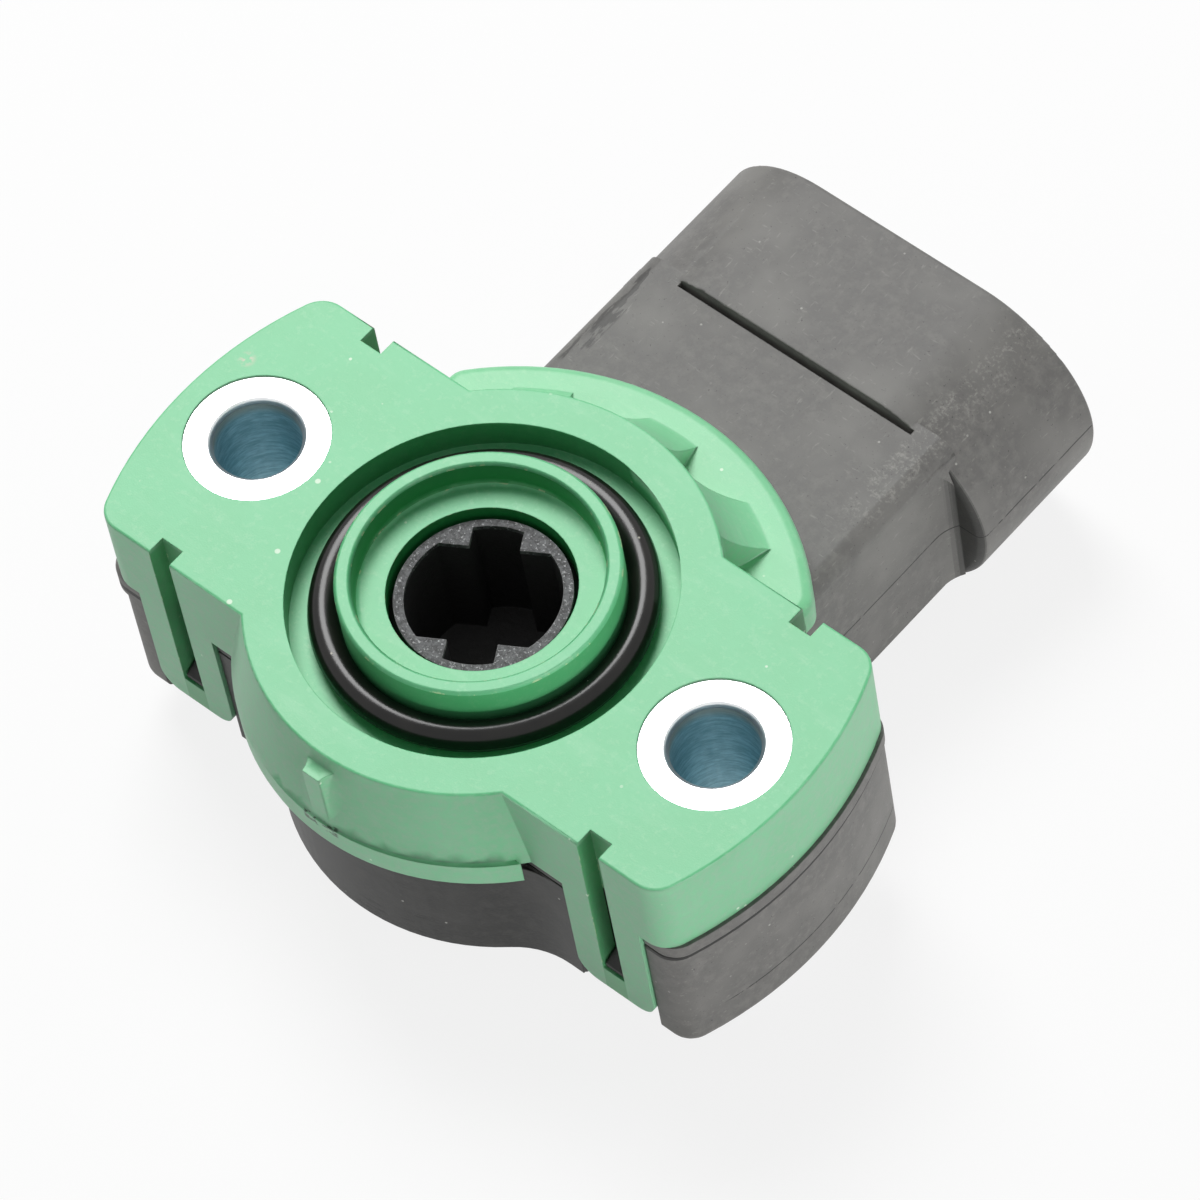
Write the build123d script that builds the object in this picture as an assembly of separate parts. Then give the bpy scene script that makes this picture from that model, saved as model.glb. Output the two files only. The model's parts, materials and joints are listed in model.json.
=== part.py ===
from build123d import *
import math
import os

os.makedirs("parts", exist_ok=True)

# Rotary position sensor for a throttle or lever axle, in millimetres.
# Origin: rotor axis at the mounting face. +Z leaves the mounting face.
# +X runs along the bolt line, +Y points at the connector.

# How far joined bodies sink into each other
sink = 0.2

# Fastening
bolt_spacing = 38.0
bushing_outer_r = 4.75
bushing_bore_r = 2.86
bushing_below_face = 0.12
bushing_chamfer = 0.3
bushing_fit = 0.02

# Cover plate, ears and hub
ear_half_width = 10.5
ear_back_extra = 0.3
ear_beyond_bolt = 6.3
ear_corner = 2.0
plate_edge = 0.18
cover_h = 6.75
hub_wall = 2.5
web_under = 3.6
ear_wall = 2.4
bushing_boss_wall = 1.85

# Front skirt, lip and index tab
skirt_flare = 1.25
skirt_lean = 0.35
lip_proud = 1.35
lip_rise = 0.55
lip_lap = 1.35
lip_end_gap = 0.7
lip_fit = 0.05
tab_root_half = 1.5
tab_waist_half = 0.86
tab_tip_half = 0.67
tab_waist_reach = 0.5
tab_reach = 1.15
tab_top = 1.1

# Back ledge and its three gussets
ledge_reach = 5.1
ledge_half_width = 15.0
ledge_top = 4.4
ledge_round = 0.8
ledge_corner = 1.5
gusset_angles = (61.3, 91.0, 120.5)
gusset_reach = 3.1
gusset_root_half = 2.4
gusset_tip_half = 1.9
gusset_sag = 0.4

# Collar, seal groove and journal bore
collar_outer_r = 9.03
collar_wall = 1.06
collar_h = 1.95
collar_edge = 0.2
recess_floor = 0.05
recess_fillet = 0.4
groove_room = 1.35
groove_floor = 2.2
journal_fit = 0.05
journal_boss_wall = 1.4
journal_boss_end = 5.2
shaft_seal_width = 2.0
shaft_seal_h = 1.3
shaft_seal_gap = 0.15
shaft_seal_taper = 0.5

# Clip legs
leg_inside_bolt = 4.3
leg_outside_bolt = 1.95
leg_thick = 1.3
leg_bottom = 16.8
leg_corner = 1.5
slot_inside_bolt = 1.2
slot_width = 1.73
leg_foot_h = 2.2
leg_fit = 0.1
latch_h = 1.2
latch_flat = 0.35
latch_proud = 0.15
latch_fit = 0.15

# Face seal ring
seal_ring_section_r = 1.0
seal_ring_fit = 0.02

# Housing
body_side_step = 0.25
body_end_step = 0.1
rim_band_proud = 0.15
rim_band_h = 1.05
rim_groove_h = 0.22
rim_groove_depth = 0.25
end_rib_proud = 0.35
end_rib_h = 2.4
end_rib_round = 0.5
body_corner = 1.8
body_bottom = 18.5
body_bottom_fillet = 1.0
floor_wall = 2.4
web_blend_r = 6.0
web_root = 0.5
web_foot_h = 0.6
chamber_to_bushing = 1.63
chamber_floor = 15.0
pocket_half_width = 7.2
pocket_wall = 4.0
back_step = 0.35
back_boss_r = 11.5
neck_half_width = 12.8
neck_drop = 1.2
neck_start_y = 9.0
neck_bottom = 21.2
neck_round = 1.2
neck_foot_round = 0.2
flare_half_width = 13.35
flare_length = 1.7
flare_top = 8.8
flare_shoulder = 10.8

# Gasket between cover and housing
gasket_groove_inset = 0.4
gasket_width = 0.9
gasket_h = 1.0
gasket_fit = 0.05

# Connector shroud
shroud_width = 30.6
shroud_height = 16.8
shroud_mid_z = -15.84
neck_reach = 8.3
shroud_length = 11.4
shroud_wall = 1.7
shroud_rear_wall = 2.0
shroud_rear_round = 0.6
shroud_mouth_round = 0.35
slit_x0 = -9.5
slit_x1 = 10.05
slit_width = 0.4
slit_depth = 0.7
slit_setback = 0.2
ramp_width = 5.0
ramp_length = 3.2
ramp_h = 0.8
ramp_from_mouth = 3.6
ramp_flat = 0.8

# Rotor
rotor_top = 0.75
rotor_rim_step = 0.34
rotor_rim_h = 0.85
rotor_rim_slope = 0.3
socket_r = 5.0
socket_half_channel = 3.5
socket_slot_half = 1.63
socket_slot_extra = 0.15
socket_depth = 9.2
socket_angle = 120.0
socket_wall = 1.0
flange_past_washer = 0.4
flange_thick = 1.5
barrel_wall = 2.05
spigot_r = 4.0
pivot_r = 2.0
pivot_fit = 0.05
pivot_depth = 1.3
pivot_end_gap = 0.1
lug_gap = 0.5
lug_h = 0.9
lug_half_angle = 12.0
turn_range = 100.0
rest_angle = 220.0
stop_gap_angle = 1.5
stop_angle = 10.0
stop_gap = 0.5
stop_drop = 0.15
stop_h = 2.3

# Axial stack under the cover
spring_thick = 0.25
spring_h = 0.8
spring_bore_gap = 0.5
spring_past_seal = 1.0
spring_seat_inset = 0.1
spring_toe = 0.3
washer_thick = 0.3
washer_past_spring = 0.2
axial_play = 0.05

# Wiper
carrier_thick = 1.4
carrier_past_track = 0.9
carrier_hub_wall = 1.6
carrier_half_angle = 34.0
contact_thick = 0.2
finger_width = 1.2
finger_run = 4.6
finger_knee = 1.2
finger_lift = 0.3
finger_foot = 0.4
finger_toe = 0.45
wiper_plate = 2.0
wiper_rise = 1.5
wiper_gap = 0.05

# Resistor board
board_gap = 0.6
board_thick = 1.0
board_hole_r = 2.6
board_edge_gap = 0.4
track_thick = 0.1
track_from_edge = 2.0
inner_track_r = 6.4
track_width = 1.4
track_gap_half_angle = 25.0
pad_width = 2.2
pad_length = 1.6

# Terminals and board contacts
terminal_angle = 90.0
terminal_pitch = 5.0
blade_width = 2.8
blade_thick = 0.8
blade_inside_mouth = 2.7
blade_point = 0.6
blade_point_drop = 0.28
terminal_leg_gap = 1.2
terminal_leg_rise = 2.1
terminal_fit = 0.05
clip_thick = 0.3
clip_width = 1.8
clip_tail = 0.6
clip_inset = 0.1
clip_dip_run = 0.9
clip_dip = 0.7
clip_foot = 0.5
board_to_leg = 0.3
pad_from_edge = 0.2

# Derived places across the axis
bolt_x = bolt_spacing / 2
bushing_hole_r = bushing_outer_r + bushing_fit
bushing_boss_r = bushing_outer_r + bushing_boss_wall
chamber_r = bolt_x - bushing_hole_r - chamber_to_bushing
hub_r = chamber_r + hub_wall
ear_end_r = bolt_x + ear_beyond_bolt
skirt_foot_r = hub_r + skirt_flare
lip_r = hub_r + lip_proud
lip_end_y = ear_half_width + lip_end_gap
tab_face_r = hub_r + tab_reach
ledge_r = hub_r + ledge_reach
gusset_tip_r = hub_r + gusset_reach
collar_inner_r = collar_outer_r - collar_wall
seal_ring_mid_r = collar_outer_r + seal_ring_fit + seal_ring_section_r
groove_outer_r = seal_ring_mid_r + seal_ring_section_r + groove_room
leg_inner_x = bolt_x - leg_inside_bolt
leg_outer_x = bolt_x + leg_outside_bolt
slot_x = bolt_x - slot_inside_bolt
body_half_width = ear_half_width - body_side_step
body_end_r = ear_end_r + body_end_step
rim_band_r = body_end_r + rim_band_proud
end_rib_r = rim_band_r + end_rib_proud
back_body_r = ledge_r - back_step
pocket_end_y = ledge_r - pocket_wall
shroud_start_y = ledge_r + neck_reach
shroud_end_y = shroud_start_y + shroud_length
journal_r = socket_r + socket_wall
rotor_rim_r = journal_r - rotor_rim_step
socket_slot_r = socket_r + socket_slot_extra
barrel_r = socket_slot_r + barrel_wall
bore_r = journal_r + journal_fit
shaft_seal_r = journal_r + shaft_seal_width
journal_boss_r = shaft_seal_r + journal_boss_wall
spring_inner_r = journal_r + spring_bore_gap
spring_outer_r = shaft_seal_r + spring_past_seal
washer_outer_r = spring_outer_r + washer_past_spring
flange_r = washer_outer_r + flange_past_washer
stop_inner_r = flange_r + stop_gap
lug_r = chamber_r - lug_gap
carrier_hub_r = spigot_r + carrier_hub_wall
board_r = chamber_r - board_gap
outer_track_r = board_r - track_from_edge
carrier_r = outer_track_r + carrier_past_track
leg_start_y = pocket_end_y - terminal_leg_gap
blade_end_y = shroud_end_y - blade_inside_mouth
board_tab_end_y = leg_start_y - clip_thick - board_to_leg
pad_y = board_tab_end_y - pad_length / 2 - pad_from_edge

# Derived depths below the mounting face
lip_top = cover_h - lip_rise
lip_bottom = cover_h + lip_lap
slot_bottom = leg_bottom - leg_foot_h
bowl_bottom = chamber_floor + floor_wall
neck_top = cover_h + neck_drop
spring_bottom = journal_boss_end + spring_h
washer_bottom = spring_bottom + washer_thick
flange_top = washer_bottom + axial_play
flange_bottom = flange_top + flange_thick
board_top = chamber_floor - board_thick
track_top = board_top - track_thick
spigot_end = track_top - wiper_rise
carrier_top = spigot_end - carrier_thick
pivot_end = chamber_floor + pivot_depth - pivot_end_gap
blade_top = -shroud_mid_z - blade_thick / 2
blade_bottom = -shroud_mid_z + blade_thick / 2
leg_top = chamber_floor - terminal_leg_rise
far = 60.0
hair = 0.001


def slab(plan, top, bottom):
    """A plan drawn at z = 0, filled from depth top to depth bottom below the mounting face."""
    return extrude(Pos(0, 0, -bottom) * plan, amount=bottom - top, dir=(0, 0, 1))


def turned(*points):
    """A solid of revolution about the rotor axis, from (radius, z) points."""
    return revolve(make_face(Plane.XZ * Polyline(*points, close=True)), Axis.Z)


def block(x0, x1, y0, y1, z0, z1):
    """A box between two corners."""
    middle = Pos((x0 + x1) / 2, (y0 + y1) / 2, (z0 + z1) / 2)
    return middle * Box(x1 - x0, y1 - y0, z1 - z0)


def edges_at(shape, axis, place):
    """The edges of a shape that lie at one place along an axis."""
    return shape.edges().filter_by_position(axis, place - hair, place + hair)


def ear_outline(half_width, end_r, corner):
    """Bar along the bolt line, a little deeper at the back, with ends struck from the rotor axis."""
    depth = 2 * half_width + ear_back_extra
    bar = Pos(0, ear_back_extra / 2) * Rectangle(2 * end_r, depth) & Circle(end_r)
    return fillet(bar.vertices(), corner)


def sector(outer_r, inner_r, start, end):
    """Part of a ring between two angles in degrees."""
    outer = CenterArc((0, 0), outer_r, start, end - start)
    inner = CenterArc((0, 0), inner_r, start, end - start)
    return make_face([outer, Line(outer @ 1, inner @ 1), inner, Line(inner @ 0, outer @ 0)])


def at_bolts(shape):
    """One copy of a shape at each bolt."""
    return Pos(bolt_x, 0, 0) * shape + Pos(-bolt_x, 0, 0) * shape


def at_legs(shape):
    """A shape drawn for half_width at +X +Y, repeated at all four legs."""
    right = Pos(0, ear_back_extra, 0) * shape + mirror(shape, Plane.XZ)
    return right + mirror(right, Plane.YZ)


def ear_cores(half_width, end_r, top, bottom):
    """Cored pockets in the ears, clear of the bushing bosses and of the hub."""
    plan = ear_outline(half_width - ear_wall, end_r - ear_wall, ear_corner)
    plan = plan - at_bolts(Circle(bushing_boss_r)) - Circle(hub_r - bushing_fit)
    return slab(plan, top, bottom)


def chamber_plan(grow=0.0):
    """Round rotor chamber with the pocket where the board meets the terminals."""
    pocket = Pos(0, pocket_end_y / 2) * Rectangle(2 * pocket_half_width, pocket_end_y)
    plan = Circle(chamber_r) + pocket
    if grow > 0:
        plan = offset(plan, amount=grow)
    return plan


def socket_plan():
    """Drive socket: a wide channel crossed by a narrow slot, leaving four corner webs."""
    channel = Circle(socket_r) & Rectangle(2 * socket_half_channel, 2 * socket_r)
    slot = Circle(socket_slot_r) & Rectangle(2 * socket_slot_r, 2 * socket_slot_half)
    return Rot(0, 0, socket_angle) * (channel + slot)


def make_plate():
    """Top plate of ears and hub, with its rounded upper edge."""
    plan = ear_outline(ear_half_width, ear_end_r, ear_corner) + Circle(hub_r)
    plate = slab(plan, 0, cover_h)
    rim = edges_at(plate, Axis.Z, 0)
    return fillet(rim, plate_edge)


def make_skirt():
    """Flared front wall, which leans to -X, and the lip that laps over the housing bowl."""
    foot = Pos(-skirt_lean, 0) * Circle(skirt_foot_r)
    wall = loft([Pos(0, 0, -plate_edge) * Circle(hub_r), Pos(0, 0, -lip_top) * foot], ruled=True)
    wall = wall + slab(foot, lip_top, cover_h)
    wall = wall & block(-far, far, -far, 0, -far, far)
    lip = slab(Circle(lip_r) + foot - Circle(hub_r + lip_fit), lip_top, lip_bottom)
    lip = lip & block(-far, far, -far, -lip_end_y, -far, far)
    return wall + lip + make_tab()


def make_tab():
    """Index tab on the skirt, waisted towards its outer face."""
    root_y = plate_edge - hub_r
    waist_y = -hub_r - tab_waist_reach
    left = ThreePointArc((-tab_root_half, root_y), (-tab_waist_half, waist_y), (-tab_tip_half, -tab_face_r))
    right = ThreePointArc((tab_root_half, root_y), (tab_waist_half, waist_y), (tab_tip_half, -tab_face_r))
    plan = make_face([left, Line(left @ 1, right @ 1), right, Line(right @ 0, left @ 0)])
    return slab(plan, tab_top, lip_top + plate_edge)


def make_ledge():
    """Low ledge towards the connector, with three sloping gussets up to the hub."""
    plan = Circle(ledge_r) & Rectangle(2 * ledge_half_width, 2 * ledge_r)
    plan = plan & Pos(0, ledge_r / 2) * Rectangle(2 * ledge_half_width, ledge_r)
    corners = plan.vertices().sort_by(Axis.Y)[2:]
    ledge = slab(fillet(corners, ledge_corner), ledge_top, cover_h)
    rim = edges_at(ledge, Axis.Z, -ledge_top)
    rim = rim.filter_by(GeomType.CIRCLE)
    ledge = fillet(rim, ledge_round)
    slope_length = math.hypot(gusset_reach, ledge_top)
    slope_mid_r = (hub_r + gusset_tip_r) / 2 - gusset_sag * ledge_top / slope_length
    slope_mid_z = -ledge_top / 2 - gusset_sag * gusset_reach / slope_length
    top = (hub_r - sink - plate_edge, -plate_edge / 2)
    crest = (hub_r - plate_edge / 4, -plate_edge / 2)
    tip = (gusset_tip_r, -ledge_top)
    foot = (gusset_tip_r, -ledge_top - sink)
    heel = (hub_r - sink - plate_edge, -ledge_top - sink)
    profile = [
        Line(top, crest),
        ThreePointArc(crest, (slope_mid_r, slope_mid_z), tip),
        Polyline(tip, foot, heel, top),
    ]
    slope = revolve(Plane.XZ * make_face(profile), Axis.Z)
    taper = Polyline(
        (hub_r - 2, -gusset_root_half),
        (hub_r, -gusset_root_half),
        (gusset_tip_r, -gusset_tip_half),
        (gusset_tip_r + 1, -gusset_tip_half),
        (gusset_tip_r + 1, gusset_tip_half),
        (gusset_tip_r, gusset_tip_half),
        (hub_r, gusset_root_half),
        (hub_r - 2, gusset_root_half),
        close=True,
    )
    for angle in gusset_angles:
        ledge = ledge + (slope & Rot(0, 0, angle) * slab(make_face(taper), -1, cover_h))
    return ledge


def make_legs():
    """Four clip legs that hang from the ears."""
    middle = (leg_inner_x + leg_outer_x) / 2
    face = Pos(middle, -leg_bottom / 2) * Rectangle(leg_outer_x - leg_inner_x, leg_bottom)
    low = face.vertices().sort_by(Axis.Y)[:2]
    face = fillet(low, leg_corner)
    leg = extrude(Plane.XZ.offset(-ear_half_width) * face, amount=leg_thick, dir=(0, -1, 0))
    return at_legs(leg & block(0, far, 0, far, -far, -plate_edge))


def leg_slot():
    """Slot that runs from the plate's edge down each clip leg."""
    half = slot_width / 2
    inner_y = ear_half_width - leg_thick
    return at_legs(block(slot_x - half, slot_x + half, inner_y, far, -slot_bottom, 1))


def make_collar():
    """Raised locating collar inside the face seal groove."""
    bend = recess_fillet * (1 - math.sqrt(0.5))
    return turned(
        (bore_r - sink, -web_under),
        (collar_outer_r, -web_under),
        (collar_outer_r, collar_h - collar_edge),
        (collar_outer_r - collar_edge, collar_h),
        (collar_inner_r + collar_edge, collar_h),
        (collar_inner_r, collar_h - collar_edge),
        (collar_inner_r, recess_fillet - recess_floor),
        (collar_inner_r - bend, bend - recess_floor),
        (collar_inner_r - recess_fillet, -recess_floor),
        (bore_r - sink, -recess_floor),
    )


def make_cover():
    """Green cover: plate, skirt, ledge, legs, collar and the bosses inside, moulded in one."""
    cover = make_plate() + make_skirt() + make_ledge() + make_legs()
    groove = slab(Circle(groove_outer_r), -1, groove_floor)
    recess = slab(Circle(collar_outer_r - sink), -1, web_under - sink)
    cover = cover - groove - recess + make_collar()
    chamber = slab(Circle(chamber_r), web_under, cover_h + 1)
    cover = cover - chamber - ear_cores(ear_half_width, ear_end_r, web_under, cover_h + 1)
    cover = cover + slab(Circle(journal_boss_r), web_under - sink, journal_boss_end)
    cover = cover - slab(Circle(bore_r), -far, far)
    seal_top = journal_boss_end - shaft_seal_h
    cover = cover - slab(Circle(shaft_seal_r), seal_top, journal_boss_end + 1)
    cover = cover - at_bolts(slab(Circle(bushing_hole_r), -1, body_bottom))
    return cover - leg_slot()


def make_body():
    """Housing body under the cover: ears, rim band, bowl, back and the potting boss."""
    ears = slab(ear_outline(body_half_width, body_end_r, body_corner), cover_h, body_bottom)
    low = edges_at(ears, Axis.Z, -body_bottom)
    ears = fillet(low, body_bottom_fillet)
    band_plan = ear_outline(body_half_width, rim_band_r, body_corner)
    band = slab(band_plan, cover_h, cover_h + rim_band_h)
    inset = rim_groove_depth
    groove_plan = band_plan - ear_outline(body_half_width - inset, body_end_r - inset, body_corner)
    groove = slab(groove_plan, cover_h + rim_band_h, cover_h + rim_band_h + rim_groove_h)
    bowl = slab(Circle(hub_r), cover_h, bowl_bottom)
    low = edges_at(bowl, Axis.Z, -bowl_bottom)
    bowl = fillet(low, body_bottom_fillet)
    bowl = bowl + slab(web_plan(), lip_bottom + lip_fit, bowl_bottom + web_foot_h)
    back_plan = Circle(back_body_r) & Pos(0, ledge_r / 2) * Rectangle(2 * neck_half_width, ledge_r)
    back = slab(back_plan, cover_h, bowl_bottom)
    boss = slab(Circle(back_boss_r), bowl_bottom - 1, neck_bottom)
    low = edges_at(boss, Axis.Z, -neck_bottom)
    boss = chamfer(low, body_bottom_fillet / 2)
    return (ears - groove) + band + make_end_rib() + bowl + back + boss


def web_plan():
    """Two webs that fill the front corners between bowl and ears."""
    ears = Rectangle(2 * leg_inner_x, 2 * body_half_width)
    joined = Circle(hub_r) + ears
    corners = joined.vertices().filter_by(lambda v: abs(math.hypot(v.X, v.Y) - hub_r) < hair)
    filled = fillet(corners, web_blend_r)
    ears_core = Rectangle(2 * leg_inner_x, 2 * (body_half_width - web_root))
    filled = filled - Circle(hub_r - web_root) - ears_core
    return filled & Pos(0, -hub_r) * Rectangle(2 * leg_inner_x, 2 * (hub_r - body_half_width / 2))


def make_end_rib():
    """Rounded rib under the cover, round the end of the ear at -X."""
    plan = ear_outline(body_half_width, end_rib_r, body_corner)
    rib = slab(plan, cover_h, cover_h + end_rib_h)
    rims = edges_at(rib, Axis.Z, -cover_h) + edges_at(rib, Axis.Z, -cover_h - end_rib_h)
    rib = fillet(rims, end_rib_round)
    return rib & block(-far, -leg_outer_x, -far, far, -far, far)


def make_neck():
    """Neck from the body to the connector, flaring at its end."""
    width = 2 * neck_half_width
    section = Pos(0, -(neck_top + neck_bottom) / 2) * Rectangle(width, neck_bottom - neck_top)
    corners = section.vertices().sort_by(Axis.Y)
    section = fillet(corners[2:], neck_round)
    corners = section.vertices().sort_by(Axis.Y)
    section = fillet(corners[:2], neck_foot_round)
    length = shroud_start_y + shroud_rear_wall / 2 - neck_start_y
    neck = extrude(Plane.XZ.offset(-neck_start_y) * section, amount=length, dir=(0, 1, 0))
    half = neck_half_width - 1
    root = (half, shroud_start_y - flare_length)
    bend = (neck_half_width, shroud_start_y - flare_length)
    edge = (flare_half_width, shroud_start_y)
    outline = [
        Line(root, bend),
        TangentArc(bend, edge, tangent=(0, 1)),
        Polyline(edge, (half, shroud_start_y), root),
    ]
    flare = slab(make_face(outline), flare_top, neck_bottom - neck_foot_round)
    front = Polyline(
        (half, -flare_top),
        (neck_half_width, -flare_top),
        (flare_half_width, -flare_shoulder),
        (flare_half_width, -neck_bottom),
        (half, -neck_bottom),
        close=True,
    )
    flare = flare & extrude(Plane.XZ * make_face(front), amount=far, dir=(0, 1, 0))
    return neck + flare + mirror(flare, Plane.YZ)


def make_shroud():
    """Flat-sided oval connector shroud with its cavity, latch ramp and top slit."""
    oval = Pos(0, shroud_mid_z) * SlotOverall(shroud_width, shroud_height)
    length = shroud_end_y - shroud_start_y
    shroud = extrude(Plane.XZ.offset(-shroud_start_y) * oval, amount=length, dir=(0, 1, 0))
    rear = edges_at(shroud, Axis.Y, shroud_start_y)
    shroud = fillet(rear, shroud_rear_round)
    mouth = edges_at(shroud, Axis.Y, shroud_end_y)
    shroud = fillet(mouth, shroud_mouth_round)
    ramp_y1 = shroud_end_y - ramp_from_mouth
    ramp_y0 = ramp_y1 - ramp_length
    shroud_bottom = shroud_mid_z - shroud_height / 2
    ramp_side = Polyline(
        (ramp_y0, shroud_bottom + sink),
        (ramp_y0, shroud_bottom - ramp_h),
        (ramp_y0 + ramp_flat, shroud_bottom - ramp_h),
        (ramp_y1, shroud_bottom),
        (ramp_y1, shroud_bottom + sink),
        close=True,
    )
    ramp_face = Plane.YZ.offset(-ramp_width / 2) * make_face(ramp_side)
    return shroud + extrude(ramp_face, amount=ramp_width, dir=(1, 0, 0))


def shroud_cavity():
    """Space that the mating plug fills."""
    hole = SlotOverall(shroud_width - 2 * shroud_wall, shroud_height - 2 * shroud_wall)
    start = shroud_start_y + shroud_rear_wall
    length = shroud_end_y + 1 - start
    face = Plane.XZ.offset(-start) * Pos(0, shroud_mid_z) * hole
    return extrude(face, amount=length, dir=(0, 1, 0))


def terminal_xs():
    """Places of the three blades across the connector."""
    return [-terminal_pitch, 0.0, terminal_pitch]


def terminal_slots():
    """Openings that the overmoulded terminals fill."""
    half = blade_width / 2 + terminal_fit
    slots = []
    for x in terminal_xs():
        back = leg_start_y - terminal_fit
        top = -blade_top + terminal_fit
        bottom = -blade_bottom - terminal_fit
        slots.append(block(x - half, x + half, back, shroud_end_y, bottom, top))
        front = leg_start_y + blade_thick + terminal_fit
        slots.append(block(x - half, x + half, back, front, bottom, -chamber_floor + 1))
    return slots


def leg_seats():
    """Recesses in the housing sides, open at the bottom, that the clip legs drop into."""
    x0 = leg_inner_x - leg_fit
    x1 = leg_outer_x + leg_fit
    y0 = ear_half_width - leg_thick - leg_fit
    return at_legs(block(x0, x1, y0, ear_half_width, -body_bottom - 1, -cover_h + 1))


def latches():
    """Ramped nubs that catch the lower end of each leg slot."""
    root_y = ear_half_width - leg_thick - leg_fit - sink
    tip_y = ear_half_width - latch_proud
    z0 = -slot_bottom + latch_fit
    crest = (tip_y, z0 + latch_flat)
    side = Polyline((root_y, z0), (tip_y, z0), crest, (root_y, z0 + latch_h), close=True)
    width = slot_width - 2 * latch_fit
    face = Plane.YZ.offset(slot_x - width / 2) * make_face(side)
    return at_legs(extrude(face, amount=width, dir=(1, 0, 0)))


def turn_stops():
    """Two posts in the chamber that the rotor lug meets at the ends of its travel."""
    low = rest_angle - lug_half_angle - stop_gap_angle
    high = rest_angle + turn_range + lug_half_angle + stop_gap_angle
    top = cover_h + stop_drop
    first = sector(chamber_r + sink, stop_inner_r, low - stop_angle, low)
    second = sector(chamber_r + sink, stop_inner_r, high, high + stop_angle)
    return slab(first, top, top + stop_h) + slab(second, top, top + stop_h)


def make_housing():
    """Black housing with its connector, moulded in one piece."""
    housing = make_body() + make_neck() + make_shroud()
    housing = housing - slab(chamber_plan(), cover_h - 1, chamber_floor)
    housing = housing - ear_cores(body_half_width, ear_end_r, cover_h - 1, chamber_floor)
    housing = housing + turn_stops()
    groove = chamber_plan(gasket_groove_inset + gasket_width + 2 * gasket_fit)
    groove = groove - chamber_plan(gasket_groove_inset)
    housing = housing - slab(groove, cover_h - 1, cover_h + gasket_h)
    housing = housing - slab(Circle(pivot_r + pivot_fit), chamber_floor - 1, chamber_floor + pivot_depth)
    housing = housing - at_bolts(slab(Circle(bushing_hole_r), cover_h - 1, body_bottom + 1))
    housing = housing - shroud_cavity()
    for slot in terminal_slots():
        housing = housing - slot
    slit_top = shroud_mid_z + shroud_height / 2
    slit_y0 = shroud_start_y + slit_setback - slit_width / 2
    slit_y1 = shroud_start_y + slit_setback + slit_width / 2
    slit = block(slit_x0, slit_x1, slit_y0, slit_y1, -neck_top - slit_depth, slit_top + 1)
    housing = housing - slit
    return housing - leg_seats() + latches()


def make_bushing():
    """Steel compression bushing that carries the bolt clamp load."""
    top = -bushing_below_face
    low = -body_bottom
    return turned(
        (bushing_bore_r, low + bushing_chamfer),
        (bushing_bore_r + bushing_chamfer, low),
        (bushing_outer_r, low),
        (bushing_outer_r, top),
        (bushing_bore_r + bushing_chamfer, top),
        (bushing_bore_r, top - bushing_chamfer),
    )


def make_seal_ring():
    """Round-section rubber ring in the groove of the mounting face."""
    z = -groove_floor + seal_ring_section_r
    return Pos(0, 0, z) * Torus(seal_ring_mid_r, seal_ring_section_r)


def make_gasket():
    """Rubber gasket between cover and housing, round the chamber."""
    inner = gasket_groove_inset + gasket_fit
    plan = chamber_plan(inner + gasket_width) - chamber_plan(inner)
    return slab(plan, cover_h, cover_h + gasket_h)


def make_shaft_seal():
    """Lip seal round the rotor journal, in the counterbore of the cover boss."""
    top = -(journal_boss_end - shaft_seal_h)
    low = -journal_boss_end
    edge_r = journal_r + shaft_seal_gap
    return turned(
        (edge_r, (top + low) / 2),
        (edge_r + shaft_seal_taper, low),
        (shaft_seal_r, low),
        (shaft_seal_r, top),
        (edge_r + shaft_seal_taper, top),
    )


def make_spring_washer():
    """Conical spring washer that pushes the rotor towards its pivot."""
    top = -journal_boss_end
    low = -spring_bottom
    return turned(
        (shaft_seal_r + spring_seat_inset, top),
        (washer_outer_r - spring_seat_inset, top),
        (spring_outer_r, top - spring_thick),
        (spring_inner_r + spring_toe, low),
        (spring_inner_r, low),
        (spring_inner_r, low + spring_thick),
    )


def make_thrust_washer():
    """Flat low-friction washer between spring and rotor flange."""
    return slab(Circle(washer_outer_r) - Circle(journal_r + shaft_seal_gap), spring_bottom, washer_bottom)


def make_rotor():
    """Rotor with its drive socket, journal, flange, stop lug and pivot."""
    rim_bottom = rotor_top + rotor_rim_h
    rotor = turned(
        (0, -rotor_top),
        (rotor_rim_r, -rotor_top),
        (rotor_rim_r, -rim_bottom),
        (journal_r, -rim_bottom - rotor_rim_slope),
        (journal_r, -flange_top),
        (flange_r, -flange_top),
        (flange_r, -flange_bottom),
        (barrel_r, -flange_bottom),
        (barrel_r, -carrier_top),
        (spigot_r, -carrier_top),
        (spigot_r, -spigot_end),
        (pivot_r, -spigot_end),
        (pivot_r, -pivot_end),
        (0, -pivot_end),
    )
    lug = sector(lug_r, barrel_r, rest_angle - lug_half_angle, rest_angle + lug_half_angle)
    rotor = rotor + slab(lug, flange_bottom - lug_h, flange_bottom)
    return rotor - slab(socket_plan(), rotor_top - 1, rotor_top + socket_depth)


def make_carrier():
    """Wiper carrier pressed on the rotor spigot."""
    fan = sector(carrier_r, spigot_r, rest_angle - carrier_half_angle, rest_angle + carrier_half_angle)
    plan = Circle(carrier_hub_r) + fan - Circle(spigot_r)
    return slab(plan, carrier_top, spigot_end)


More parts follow.
